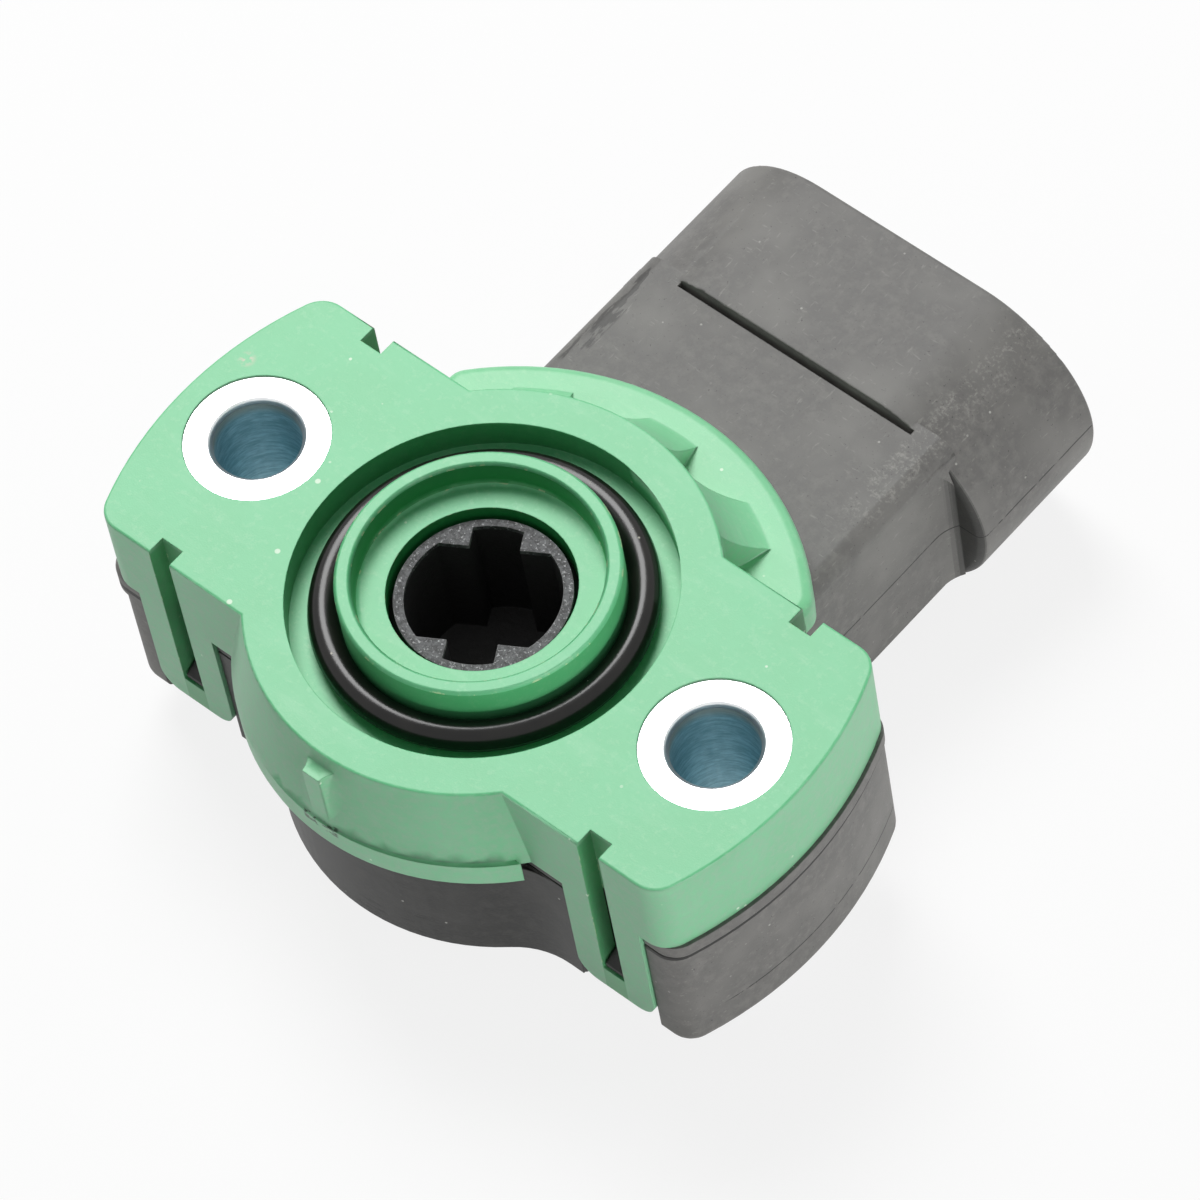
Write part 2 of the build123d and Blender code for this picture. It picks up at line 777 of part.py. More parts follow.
def make_wiper():
    """Stamped wiper with one finger on each track."""
    inner_r = inner_track_r - finger_width / 2
    outer_r = outer_track_r + finger_width / 2
    plate_y = finger_run - wiper_plate / 2
    plate = Pos((inner_r + outer_r) / 2, plate_y) * Rectangle(outer_r - inner_r, wiper_plate)
    wiper = slab(plate, spigot_end, spigot_end + contact_thick)
    tip_z = -track_top + wiper_gap + contact_thick / 2
    start_z = -spigot_end - contact_thick / 2
    path = Polyline(
        (plate_y, start_z),
        (finger_knee, tip_z + finger_lift),
        (finger_foot, tip_z),
        (-finger_foot, tip_z),
        (-finger_foot - finger_toe, tip_z + finger_toe),
    )
    strip = trace(path, line_width=contact_thick)
    for radius in (inner_track_r, outer_track_r):
        face = Plane.YZ.offset(radius - finger_width / 2) * strip
        wiper = wiper + extrude(face, amount=finger_width, dir=(1, 0, 0))
    return Rot(0, 0, rest_angle) * wiper


def make_board():
    """Resistor board on the chamber floor, with a tab towards the terminals."""
    half = pocket_half_width - board_edge_gap
    tab = Pos(0, board_tab_end_y / 2) * Rectangle(2 * half, board_tab_end_y)
    return slab(Circle(board_r) + tab - Circle(board_hole_r), board_top, chamber_floor)


def pad(x):
    """Contact pad of one terminal on the board's tab."""
    return Pos(x, pad_y) * Rectangle(pad_width, pad_length)


def make_resistive_track():
    """Outer printed track, from the supply pad round to the ground pad."""
    start = terminal_angle + track_gap_half_angle
    end = terminal_angle + 360 - track_gap_half_angle
    half = track_width / 2
    plan = sector(outer_track_r + half, outer_track_r - half, start, end)
    lead_x = (outer_track_r - half / 2) * math.sin(math.radians(track_gap_half_angle)) + half
    lead_y0 = (outer_track_r - half) * math.cos(math.radians(track_gap_half_angle))
    lead = Pos(lead_x, (lead_y0 + pad_y) / 2) * Rectangle(track_width, pad_y - lead_y0)
    plan = plan + lead + mirror(lead, Plane.YZ) + pad(terminal_pitch) + pad(-terminal_pitch)
    return slab(plan, track_top, board_top)


def make_collector_track():
    """Inner printed ring, led out to the signal pad."""
    half = track_width / 2
    plan = Circle(inner_track_r + half) - Circle(inner_track_r - half)
    lead = Pos(0, (inner_track_r + pad_y) / 2) * Rectangle(track_width, pad_y - inner_track_r)
    return slab(plan + lead + pad(0), track_top, board_top)


def make_terminal(x):
    """Blade terminal with an upright leg inside the chamber."""
    half = blade_width / 2
    blade = block(x - half, x + half, leg_start_y, blade_end_y, -blade_bottom, -blade_top)
    tip = edges_at(blade, Axis.Y, blade_end_y)
    blade = chamfer(tip.filter_by(Axis.X), blade_point_drop, blade_point)
    return blade + block(x - half, x + half, leg_start_y, leg_start_y + blade_thick, -blade_top, -leg_top)


def make_clip(x):
    """Sprung contact from a terminal leg down to its pad."""
    half = clip_thick / 2
    back = leg_start_y - half
    foot_z = -track_top + half
    path = Polyline(
        (back, -chamber_floor + clip_tail),
        (back, -leg_top + clip_inset),
        (back - clip_dip_run, -leg_top + clip_dip),
        (pad_y + clip_foot, -leg_top + clip_inset),
        (pad_y + clip_foot - clip_inset, foot_z),
        (pad_y - clip_foot, foot_z),
    )
    face = Plane.YZ.offset(x - clip_width / 2) * trace(path, line_width=clip_thick)
    clip = extrude(face, amount=clip_width, dir=(1, 0, 0))
    return clip & block(-far, far, pad_y - 1, leg_start_y, -track_top - 2, 0)


nodes = {
    "cover": make_cover(),
    "housing": make_housing(),
    "bushing_left": Pos(-bolt_x, 0, 0) * make_bushing(),
    "bushing_right": Pos(bolt_x, 0, 0) * make_bushing(),
    "face_seal_ring": make_seal_ring(),
    "body_gasket": make_gasket(),
    "shaft_seal": make_shaft_seal(),
    "spring_washer": make_spring_washer(),
    "thrust_washer": make_thrust_washer(),
    "rotor": make_rotor(),
    "wiper_carrier": make_carrier(),
    "wiper": make_wiper(),
    "resistor_board": make_board(),
    "resistive_track": make_resistive_track(),
    "collector_track": make_collector_track(),
}
for name, x in zip(("supply", "signal", "ground"), terminal_xs()):
    nodes["terminal_" + name] = make_terminal(x)
    nodes["contact_" + name] = make_clip(x)

for name, shape in nodes.items():
    export_step(shape, "parts/" + name + ".step")
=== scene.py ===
# %% [markdown]
# # A rotary position sensor, from its solid frame to its finished looks
#
# The sensor is a small under-bonnet part, about 51 mm long: a green moulded
# cover with two steel bushings, a black glass-filled housing with an oval plug
# shroud, a rubber face seal and a black rotor with a cross-shaped socket.
# The solids arrive finished. This lesson gives each of them the surface that
# the real one has, models the one piece that needs more than its plain solid,
# and sets up a pale studio with the camera where the photographer stood.

# %% Load the frame
import json
import math

import bpy
from mathutils import Matrix, Vector

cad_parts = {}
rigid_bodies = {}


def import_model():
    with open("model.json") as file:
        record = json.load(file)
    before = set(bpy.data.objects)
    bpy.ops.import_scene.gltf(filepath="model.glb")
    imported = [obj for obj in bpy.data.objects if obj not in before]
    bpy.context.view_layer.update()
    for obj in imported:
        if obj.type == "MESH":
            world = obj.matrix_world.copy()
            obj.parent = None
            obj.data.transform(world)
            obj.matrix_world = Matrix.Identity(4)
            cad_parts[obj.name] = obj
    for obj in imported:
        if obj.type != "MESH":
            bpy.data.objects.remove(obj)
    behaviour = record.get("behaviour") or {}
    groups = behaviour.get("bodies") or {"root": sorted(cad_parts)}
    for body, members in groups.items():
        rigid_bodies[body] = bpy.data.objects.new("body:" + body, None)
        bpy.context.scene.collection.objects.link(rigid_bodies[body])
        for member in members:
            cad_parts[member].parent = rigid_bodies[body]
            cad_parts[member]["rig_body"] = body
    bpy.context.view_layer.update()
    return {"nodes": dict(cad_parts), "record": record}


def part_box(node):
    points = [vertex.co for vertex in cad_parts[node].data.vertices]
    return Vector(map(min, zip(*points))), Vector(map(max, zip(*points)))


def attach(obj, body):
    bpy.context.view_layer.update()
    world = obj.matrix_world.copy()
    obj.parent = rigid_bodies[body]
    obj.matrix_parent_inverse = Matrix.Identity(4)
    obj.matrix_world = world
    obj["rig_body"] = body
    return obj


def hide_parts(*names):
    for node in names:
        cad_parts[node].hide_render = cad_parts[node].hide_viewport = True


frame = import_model()
MM = 0.001

# %% [markdown]
# The photograph was taken with a long lens from above the front left bolt.
# A camera could be placed by eye and turned until it looks right, but a
# camera that is measured from known points, here the two bushings and the
# round hub, lands every edge where the photograph has it. Its three axes are
# written out, so its slight roll is kept as well.

# %% Place the camera
CAMERA_PLACE = Vector((220.65, -172.55, 410.87)) * MM
CAMERA_RIGHT = Vector((0.7510, 0.6506, -0.1123))
CAMERA_UP = Vector((-0.4993, 0.6710, 0.5482))
CAMERA_BACK = Vector((0.4320, -0.3556, 0.8288))
LENS_MM = 241.2
SENSOR_MM = 36.0
CLIP_START = 0.01
CLIP_END = 20.0

camera_data = bpy.data.cameras.new("studio_camera")
camera_data.lens = LENS_MM
camera_data.sensor_width = SENSOR_MM
camera_data.clip_start = CLIP_START
camera_data.clip_end = CLIP_END
camera = bpy.data.objects.new("studio_camera", camera_data)
bpy.context.scene.collection.objects.link(camera)
turn = Matrix((CAMERA_RIGHT, CAMERA_UP, CAMERA_BACK)).transposed()
camera.matrix_world = Matrix.Translation(CAMERA_PLACE) @ turn.to_4x4()
bpy.context.scene.camera = camera

# %% [markdown]
# Materials are built from nodes. Wiring them one by one is slow to write and
# slow to read, so one small class stands for a value that changes over the
# surface. Adding or multiplying two such values adds the Math node that does
# it, and a recipe then reads like arithmetic.

# %% A value that can be used in sums
class Value:
    def __init__(self, recipe, socket):
        self.recipe = recipe
        self.socket = socket

    def combine(self, operation, first, second):
        return self.recipe.node("ShaderNodeMath", {0: first, 1: second}, operation=operation)

    def __add__(self, other):
        return self.combine("ADD", self, other)

    def __radd__(self, other):
        return self.combine("ADD", other, self)

    def __sub__(self, other):
        return self.combine("SUBTRACT", self, other)

    def __rsub__(self, other):
        return self.combine("SUBTRACT", other, self)

    def __mul__(self, other):
        return self.combine("MULTIPLY", self, other)

    def __rmul__(self, other):
        return self.combine("MULTIPLY", other, self)

    def __pow__(self, other):
        return self.combine("POWER", self, other)

    def __abs__(self):
        return self.recipe.node("ShaderNodeMath", {0: self}, operation="ABSOLUTE")

    def sine(self):
        return self.recipe.node("ShaderNodeMath", {0: self}, operation="SINE")

    def most(self, other):
        return self.combine("MAXIMUM", self, other)


# %% [markdown]
# A recipe holds one material. Its `node` method makes any node: the settings
# are made first, and then each input gets a number, a colour or another value.
# A constant that holds two numbers gives the two limits of a step or a band.
# Places are read in millimetres from Object coordinates, because every piece
# keeps its place in its mesh, so one ruler serves the whole sensor.

# %% A recipe for one material
class Recipe:
    def __init__(self, name, roughness, metallic=0.0, specular=0.5):
        self.material = bpy.data.materials.new(name)
        self.material.use_nodes = True
        self.tree = self.material.node_tree
        self.shader = self.tree.nodes["Principled BSDF"]
        self.shader.inputs["Roughness"].default_value = roughness
        self.shader.inputs["Metallic"].default_value = metallic
        self.shader.inputs["Specular IOR Level"].default_value = specular
        coordinates = self.node("ShaderNodeTexCoord", output="Object")
        self.place = self.node(
            "ShaderNodeVectorMath", {0: coordinates, "Scale": 1 / MM}, operation="SCALE"
        )
        self.x = self.part(self.place, "X")
        self.y = self.part(self.place, "Y")
        self.z = self.part(self.place, "Z")

    def node(self, kind, inputs=None, output=0, stops=None, **settings):
        made = self.tree.nodes.new(kind)
        for name, value in settings.items():
            setattr(made, name, value)
        for number, (position, colour) in enumerate(stops or []):
            ramp = made.color_ramp.elements
            stop = ramp[number] if number < 2 else ramp.new(position)
            stop.position = position
            stop.color = colour
        for socket, value in (inputs or {}).items():
            self.feed(made.inputs[socket], value)
        return Value(self, made.outputs[output])

    def feed(self, socket, value):
        if isinstance(value, Value):
            self.tree.links.new(value.socket, socket)
        elif isinstance(value, tuple) and socket.type == "RGBA":
            socket.default_value = (*value, 1.0)[:4]
        else:
            socket.default_value = value

    def part(self, vector, axis):
        return self.node("ShaderNodeSeparateXYZ", {0: vector}, output=axis)

    def noise(self, scale, detail=3.0, roughness=0.55, stretch=(1, 1, 1), seed=0.0):
        """Cloudy noise, 0 to 1, with about as many clouds to the millimetre as the scale says."""
        moved = {"Vector": self.place, "Scale": stretch, "Location": (seed, seed, seed)}
        where = self.node("ShaderNodeMapping", moved)
        inputs = {"Vector": where, "Scale": scale, "Detail": detail, "Roughness": roughness}
        return self.node("ShaderNodeTexNoise", inputs)

    def step(self, value, low, high):
        """0 below low, 1 above high, smooth between. Low may be the larger one."""
        inputs = {"Value": value, "From Min": low, "From Max": high}
        return self.node("ShaderNodeMapRange", inputs, interpolation_type="SMOOTHSTEP")

    def band(self, value, low, high, soft):
        """1 between low and high, with edges that are soft wide."""
        return self.step(value, low - soft, low) * self.step(value, high + soft, high)

    def distance(self, point):
        inputs = {0: self.place, 1: point}
        return self.node("ShaderNodeVectorMath", inputs, output="Value", operation="DISTANCE")

    def radius(self, x=0.0, y=0.0):
        """Distance from an upright axis."""
        return ((self.x - x) ** 2 + (self.y - y) ** 2) ** 0.5

    def mix(self, factor, first, second):
        inputs = {0: factor, 6: first, 7: second}
        return self.node("ShaderNodeMix", inputs, output=2, data_type="RGBA")

    def facing(self, axis):
        """How far the real surface faces one axis, from -1 to 1."""
        normal = self.node("ShaderNodeNewGeometry", output="True Normal")
        return self.part(normal, axis)

    def specks(self, scale, low, high):
        """Small dots, one to a cell: 1 nearer than low to its middle, 0 beyond high."""
        cells = self.node("ShaderNodeTexVoronoi", {"Vector": self.place, "Scale": scale})
        return self.step(cells, high, low)

    def soft_edges(self, width):
        """Normal of the surface with its sharp edges rounded, and where those edges are."""
        rounded = self.node("ShaderNodeBevel", {"Radius": width * MM}, samples=6)
        flat = self.node("ShaderNodeNewGeometry", output="True Normal")
        inputs = {0: rounded, 1: flat}
        match = self.node("ShaderNodeVectorMath", inputs, output="Value", operation="DOT_PRODUCT")
        return rounded, 1 - match

    def bump(self, height, depth, normal=None):
        inputs = {"Height": height, "Distance": depth * MM}
        if normal is not None:
            inputs["Normal"] = normal
        return self.node("ShaderNodeBump", inputs)

    def finish(self, colour, roughness, normal):
        self.feed(self.shader.inputs["Base Color"], colour)
        self.feed(self.shader.inputs["Roughness"], roughness)
        self.feed(self.shader.inputs["Normal"], normal)
        return self.material


def linear(red, green, blue):
    """Scene colour of a colour as a screen shows it, 0 to 255."""
    parts = [v / 255 for v in (red, green, blue)]
    return tuple(v / 12.92 if v < 0.04045 else ((v + 0.055) / 1.055) ** 2.4 for v in parts)


# %% [markdown]
# The cover is glass-filled nylon, coloured green. It isn't one flat colour:
# the flow of the melt leaves pale clouds, and dust lies on the top. The outer
# walls are painted greyer and paler with a fine mottle, a painted sheen. The
# walls of the slots and of the groove are painted darker, a painted shade, and
# the ledge top is painted paler, a painted sheen. Burrs along the slots and the
# collar are painted pale, partly as painted highlight. The left ear has a
# pinkish smear, and the lip of the skirt is scuffed at the index tab. Every
# mark is placed in millimetres, so it stays on its own feature from any side.

# %% Green moulded cover
GREEN = linear(100, 193, 135)
GREEN_LIGHT = linear(112, 201, 146)
GREEN_PALE = linear(178, 226, 190)
GREEN_WALL_SHEEN = linear(140, 182, 152)
GREEN_PAINTED_SHADE = linear(22, 140, 64)
BURR_AND_HIGHLIGHT = linear(224, 236, 188)
DIRT = linear(40, 62, 44)
SLOT_X = 17.8
SLOT_HALF = 0.865
GROOVE_R = 12.42
SLOT_Y = (9.1, 10.9)
NEAR_SLOT_X = (1.5, 1.2)
NEAR_SLOT_Y = (8.6, 8.9)
INSIDE_COLLAR_R = (8.4, 8.2)
NEAR_COLLAR_R = (9.4, 9.2)
OUTER_WALLS_R = (13.0, 14.0)
LEDGE_R = (15.3, 20.6)
LEDGE_Z = (-0.3, -0.6)
DUST_SPOTS = ((-13.64, -0.15, 0.0), (-12.15, -5.59, 0.0), (-12.04, -10.2, 0.0))
PINK_SMEAR = (-23.57, 4.1, 0.0)
SCUFF_HALF = 1.25
SCUFF_Z = (-6.75, -6.05)
DUST = linear(232, 244, 226)
SMEAR = linear(214, 196, 180)


def green_plastic():
    recipe = Recipe("green_plastic", roughness=0.4)
    clouds = recipe.noise(0.16, detail=4.0, roughness=0.6)
    streaks = recipe.noise(0.5, detail=5.0, roughness=0.65, stretch=(0.35, 1.5, 1.0), seed=7.0)
    mottle = recipe.noise(1.9, detail=5.0, roughness=0.7, seed=3.0)
    grain = recipe.noise(9.0, detail=2.0, seed=3.0)
    tone = recipe.mix(recipe.step(clouds, 0.35, 0.65), GREEN, GREEN_LIGHT)
    tone = recipe.mix(recipe.step(streaks, 0.5, 0.74) * 0.14, tone, GREEN_PALE)
    tone = recipe.mix(recipe.step(mottle, 0.5, 0.7) * 0.2, tone, GREEN_PALE)
    radius = recipe.radius()
    off_slot = abs(abs(recipe.x) - SLOT_X)
    wall = recipe.step(abs(recipe.facing("Z")), 0.8, 0.4)
    wall = wall * recipe.step(radius, *OUTER_WALLS_R)
    # The outer walls are painted greyer and paler, with a mottle: a painted sheen.
    painted_wall_sheen = wall * (0.35 + recipe.step(mottle, 0.3, 0.7) * 0.45)
    tone = recipe.mix(painted_wall_sheen, tone, GREEN_WALL_SHEEN)
    # The walls of the slots and of the groove, more so inside the collar, are painted darker
    # green: painted shade.
    shaded_slot_walls = recipe.step(off_slot, SLOT_HALF + 0.05, SLOT_HALF + 0.01)
    shaded_slot_walls = shaded_slot_walls * recipe.band(abs(recipe.y), *SLOT_Y, 0.1)
    shaded_slot_walls = shaded_slot_walls * recipe.step(recipe.z, -0.15, -0.5)
    shaded_inner_walls = recipe.step(radius, GROOVE_R + 0.05, GROOVE_R)
    shaded_inner_walls = shaded_inner_walls * recipe.step(abs(recipe.facing("Z")), 0.6, 0.3)
    bore = recipe.step(radius, *INSIDE_COLLAR_R)
    shaded_inner_walls = shaded_inner_walls * (0.5 + bore * 0.4)
    tone = recipe.mix((shaded_slot_walls * 0.5).most(shaded_inner_walls), tone, GREEN_PAINTED_SHADE)
    # The top of the ledge is painted paler: a painted sheen.
    painted_ledge_sheen = recipe.band(radius, *LEDGE_R, 0.1) * recipe.step(recipe.z, *LEDGE_Z)
    tone = recipe.mix(painted_ledge_sheen * (1 - wall) * 0.22, tone, GREEN_PALE)
    normal, edges = recipe.soft_edges(0.1)
    near_slots = recipe.step(off_slot, *NEAR_SLOT_X) * recipe.step(abs(recipe.y), *NEAR_SLOT_Y)
    near_collar = recipe.step(radius, *NEAR_COLLAR_R) * recipe.step(recipe.z, -0.5, 0.0)
    # Pale burrs along the slot and collar edges, partly a painted highlight on those edges.
    burrs_and_highlight = recipe.step(edges, 0.03, 0.25) * near_slots.most(near_collar)
    burrs_and_highlight = burrs_and_highlight * recipe.step(recipe.noise(1.3, detail=4.0, seed=17.0), 0.55, 0.62)
    tone = recipe.mix(burrs_and_highlight * 0.75, tone, BURR_AND_HIGHLIGHT)
    dust = recipe.specks(0.55, 0.045, 0.075)
    dust = dust * recipe.step(recipe.noise(0.45, seed=11.0), 0.5, 0.6)
    for spot in DUST_SPOTS:
        dust = dust.most(recipe.step(recipe.distance(spot), 0.22, 0.14))
    tone = recipe.mix(dust * 0.7, tone, DUST)
    smear = recipe.step(recipe.distance(PINK_SMEAR), 0.75, 0.1)
    smear = smear * recipe.step(recipe.noise(1.8, detail=5.0, seed=21.0), 0.42, 0.56)
    tone = recipe.mix(smear * 0.8, tone, SMEAR)
    rubbed = recipe.noise(1.7, detail=6.0, stretch=(1.0, 1.0, 2.2), seed=5.0)
    scuff = recipe.step(abs(recipe.x), SCUFF_HALF + 0.25, SCUFF_HALF)
    scuff = scuff * recipe.step(recipe.y, -15.0, -16.0)
    scuff = scuff * recipe.band(recipe.z, *SCUFF_Z, 0.15) * recipe.step(rubbed, 0.47, 0.56)
    tone = recipe.mix(scuff * 0.9, tone, DIRT)
    height = grain * 0.5 + mottle * 0.5
    rough = 0.34 + clouds * 0.12 + mottle * 0.06
    return recipe.finish(tone, rough, recipe.bump(height, 0.014, normal))


# %% [markdown]
# The housing is black glass-filled polyester. Its bowl is painted nearly
# black, a painted shade, while the neck, the shroud and the ear ends come from
# an eroded part of the mould: there the glass shows as a grey mottle with pits
# and short pale flecks. The mould's two halves meet in a broken hairline round
# the ears, the neck and the shroud, and a painted shadow line over a small
# groove marks the step under the rim at the ear ends. The neck's right edge is
# rubbed grey, and its left edge has dark chips. The faces of its flare that
# look towards the bowl are painted darker, a painted shade, and the bowl is
# scratched.

# %% Black moulded housing
BLACK = linear(27, 27, 26)
BLACK_GRAINED = linear(100, 99, 97)
BLACK_PALE = linear(134, 133, 129)
BLACK_DARK = linear(16, 16, 15)
RUBBED = linear(150, 149, 144)
PARTING_Z = -15.35
RIM_GROOVE_AND_SHADOW_Z = -8.12
PARTING_HALF = 0.035
RIM_GROOVE_AND_SHADOW_HALF = 0.18
BOWL_SCRAPES = (
    (-2.3, -14.9, -17.0),
    (-4.0, -14.6, -16.2),
    (1.4, -15.0, -16.6),
    (4.6, -14.4, -16.6),
)
NECK_RIM_X = 11.9
CHIPPED_Y = (20.0, 28.4)
RUBBED_Y = (19.0, 24.0)
LEAF_X = (11.5, 12.5)
LEAF_Y = (22.0, 29.5)
RIM_GROOVE_AND_SHADOW_X = (19.0, 19.5)
GRAINED_X = (19.5, 22.0)
GRAINED_Y = (8.0, 13.0)
PALE_DUST = linear(190, 190, 184)


def black_plastic():
    recipe = Recipe("black_plastic", roughness=0.5, specular=0.35)
    up = recipe.facing("Z")
    mottle = recipe.noise(1.1, detail=6.0, roughness=0.7)
    patches = recipe.noise(0.14, detail=3.0, seed=9.0)
    grain = recipe.noise(4.5, detail=4.0, roughness=0.7, seed=4.0)
    flecks_along = recipe.noise(2.6, detail=3.0, stretch=(0.35, 1.6, 1.6), seed=14.0)
    flecks_across = recipe.noise(2.6, detail=3.0, stretch=(1.6, 0.35, 1.6), seed=24.0)
    grained = recipe.step(recipe.y, *GRAINED_Y).most(recipe.step(abs(recipe.x), *GRAINED_X))
    # The bowl keeps the near-black tone, painted darker than the grey grained parts: painted
    # shade.
    tone = recipe.mix(grained, BLACK, BLACK_GRAINED)
    clouds = recipe.step(mottle, 0.35, 0.75).most(recipe.step(patches, 0.42, 0.68))
    tone = recipe.mix(clouds * (0.1 + grained * 0.4), tone, BLACK_PALE)
    flecks = recipe.step(flecks_along, 0.64, 0.74).most(recipe.step(flecks_across, 0.64, 0.74))
    tone = recipe.mix(flecks * grained * 0.4, tone, RUBBED)
    pits = recipe.step(grain, 0.36, 0.28) * (0.3 + grained * 0.5)
    tone = recipe.mix(pits, tone, BLACK_DARK)
    normal, edges = recipe.soft_edges(0.15)
    worn = recipe.step(edges, 0.08, 0.35) * recipe.step(mottle, 0.4, 0.6)
    tone = recipe.mix(worn * 0.35, tone, RUBBED)
    chipped = recipe.noise(0.8, detail=6.0, stretch=(2.0, 0.4, 1.0), seed=41.0)
    chips = recipe.band(recipe.x, -NECK_RIM_X - 0.1, -NECK_RIM_X + 0.9, 0.2)
    chips = chips * recipe.step(up, 0.3, 0.6) * recipe.band(recipe.y, *CHIPPED_Y, 0.6)
    chips = chips * recipe.step(chipped, 0.53, 0.57)
    tone = recipe.mix(chips * 0.55, tone, BLACK_DARK)
    # The flare faces that look forwards are painted darker: painted shade.
    shaded_leaf = recipe.step(recipe.facing("Y"), -0.3, -0.6) * recipe.band(recipe.y, *LEAF_Y, 1.0)
    shaded_leaf = shaded_leaf * recipe.step(abs(recipe.x), *LEAF_X)
    tone = recipe.mix(shaded_leaf * 0.75, tone, BLACK_DARK)
    rim = recipe.band(recipe.x, NECK_RIM_X - 1.6, NECK_RIM_X + 0.4, 0.6)
    rim = rim * recipe.step(up, 0.7, 0.95) * recipe.step(recipe.y, *RUBBED_Y)
    rim = rim * recipe.step(grain * 0.6 + mottle * 0.4, 0.5, 0.6)
    tone = recipe.mix(rim * 0.6, tone, RUBBED)
    broken = recipe.step(recipe.noise(0.9, detail=3.0, seed=31.0), 0.36, 0.46)
    wander = (recipe.noise(0.5, detail=3.0, seed=33.0) - 0.5) * 0.12
    low, high = PARTING_Z - PARTING_HALF, PARTING_Z + PARTING_HALF
    line = recipe.band(recipe.z + wander, low, high, 0.04) * broken
    line = line * recipe.step(abs(up), 0.6, 0.3)
    line = line * recipe.step(recipe.y + abs(recipe.x) * 0.5, 4.0, 6.0)
    # A dark band under the rim step at the ear ends: a painted shadow over a small groove.
    low, high = RIM_GROOVE_AND_SHADOW_Z - RIM_GROOVE_AND_SHADOW_HALF, RIM_GROOVE_AND_SHADOW_Z + RIM_GROOVE_AND_SHADOW_HALF
    rim_groove_and_shadow = recipe.band(recipe.z, low, high, 0.06)
    rim_groove_and_shadow = rim_groove_and_shadow * recipe.step(abs(recipe.x), *RIM_GROOVE_AND_SHADOW_X)
    rim_groove_and_shadow = rim_groove_and_shadow * recipe.step(abs(up), 0.9, 0.6)
    tone = recipe.mix((line * 0.9).most(rim_groove_and_shadow * 0.95), tone, BLACK_DARK)
    first, *others = [recipe.step(recipe.distance(spot), 2.2, 0.8) for spot in BOWL_SCRAPES]
    for other in others:
        first = first.most(other)
    streaky = recipe.noise(0.9, detail=6.0, roughness=0.6, stretch=(0.5, 0.5, 3.5), seed=2.0)
    scrape = first * recipe.step(streaky, 0.55, 0.6)
    tone = recipe.mix(scrape * 0.9, tone, BLACK_DARK)
    dust = recipe.specks(0.7, 0.045, 0.075)
    dust = dust * recipe.step(recipe.noise(0.5, seed=13.0), 0.52, 0.6)
    tone = recipe.mix(dust * 0.6, tone, PALE_DUST)
    height = mottle * 0.35 + grain * 0.65 - line - rim_groove_and_shadow - scrape * 0.3
    rough = 0.4 + grained * 0.08 + mottle * 0.12
    return recipe.finish(tone, rough, recipe.bump(height, 0.025, normal))


# %% [markdown]
# The rotor is a second black moulding. The rim of its socket looks sawn: a
# coarse sparkle of glass ends and pits, with a paler edge all round. Below
# the rim the plastic is smooth and almost black.

# %% Rotor
SOCKET_RIM_Z = -0.75
ROTOR_BLACK = linear(24, 24, 24)
ROTOR_RIM = (linear(36, 36, 37), linear(98, 99, 101))
SPARKLE = linear(196, 196, 198)
ROTOR_EDGE = linear(176, 176, 176)


def rotor_plastic():
    recipe = Recipe("rotor_plastic", roughness=0.5)
    grain = recipe.noise(2.4, detail=6.0, roughness=0.8)
    sparkle = recipe.noise(4.2, detail=4.0, roughness=0.7, seed=6.0)
    face = recipe.band(recipe.z, SOCKET_RIM_Z - 0.3, SOCKET_RIM_Z + 0.1, 0.1)
    rim = recipe.mix(recipe.step(grain, 0.38, 0.62), *ROTOR_RIM)
    rim = recipe.mix(recipe.step(sparkle, 0.57, 0.63) * 0.75, rim, SPARKLE)
    tone = recipe.mix(face, ROTOR_BLACK, rim)
    normal, edges = recipe.soft_edges(0.12)
    tone = recipe.mix(recipe.step(edges, 0.03, 0.3) * face * 0.5, tone, ROTOR_EDGE)
    height = grain * 0.5 + sparkle * 0.5
    return recipe.finish(tone, 0.48 + grain * 0.2, recipe.bump(height, 0.09, normal))


# %% [markdown]
# Rubber is darker than it looks: most of what the eye sees on the face seal
# is the soft sheen on its crest. A few pale specks of dust stick to it.

# %% Rubber seals
RUBBER = (linear(14, 13, 12), linear(26, 24, 22))
LINT = linear(200, 196, 186)


def seal_rubber():
    recipe = Recipe("seal_rubber", roughness=0.25, specular=0.35)
    haze = recipe.noise(0.5, detail=4.0)
    grain = recipe.noise(6.0, detail=3.0, stretch=(1.0, 1.0, 0.5), seed=8.0)
    tone = recipe.mix(recipe.step(haze, 0.35, 0.7), *RUBBER)
    dust = recipe.specks(0.9, 0.05, 0.09)
    dust = dust * recipe.step(recipe.noise(0.6, seed=13.0), 0.53, 0.62)
    tone = recipe.mix(dust * 0.85, tone, LINT)
    rough = 0.18 + haze * 0.12 + dust * 0.3
    return recipe.finish(tone, rough, recipe.bump(grain, 0.005))


# %% [markdown]
# The bushings are cut from steel tube and zinc plated. Their faced ends shine
# almost white with fine turning rings, and the drawn bore is painted darker and
# blue, a painted reflection, with curved tool marks and a brown tint just under
# its edge. Each pattern is centred on its own bushing, so the recipe takes the
# place of that axis.

# %% Zinc plated bushings
FACE_ZINC = (linear(246, 247, 248), linear(234, 236, 238))
BORE_BLUE_REFLECTION = (linear(152, 190, 200), linear(196, 228, 236))
TOOL_MARK = linear(224, 234, 236)
BROWN_LIP = linear(196, 184, 168)
ZINC_EDGE = linear(206, 208, 210)
INSIDE_TUBE_R = (3.3, 3.0)
RINGS_PER_MM = 42.0


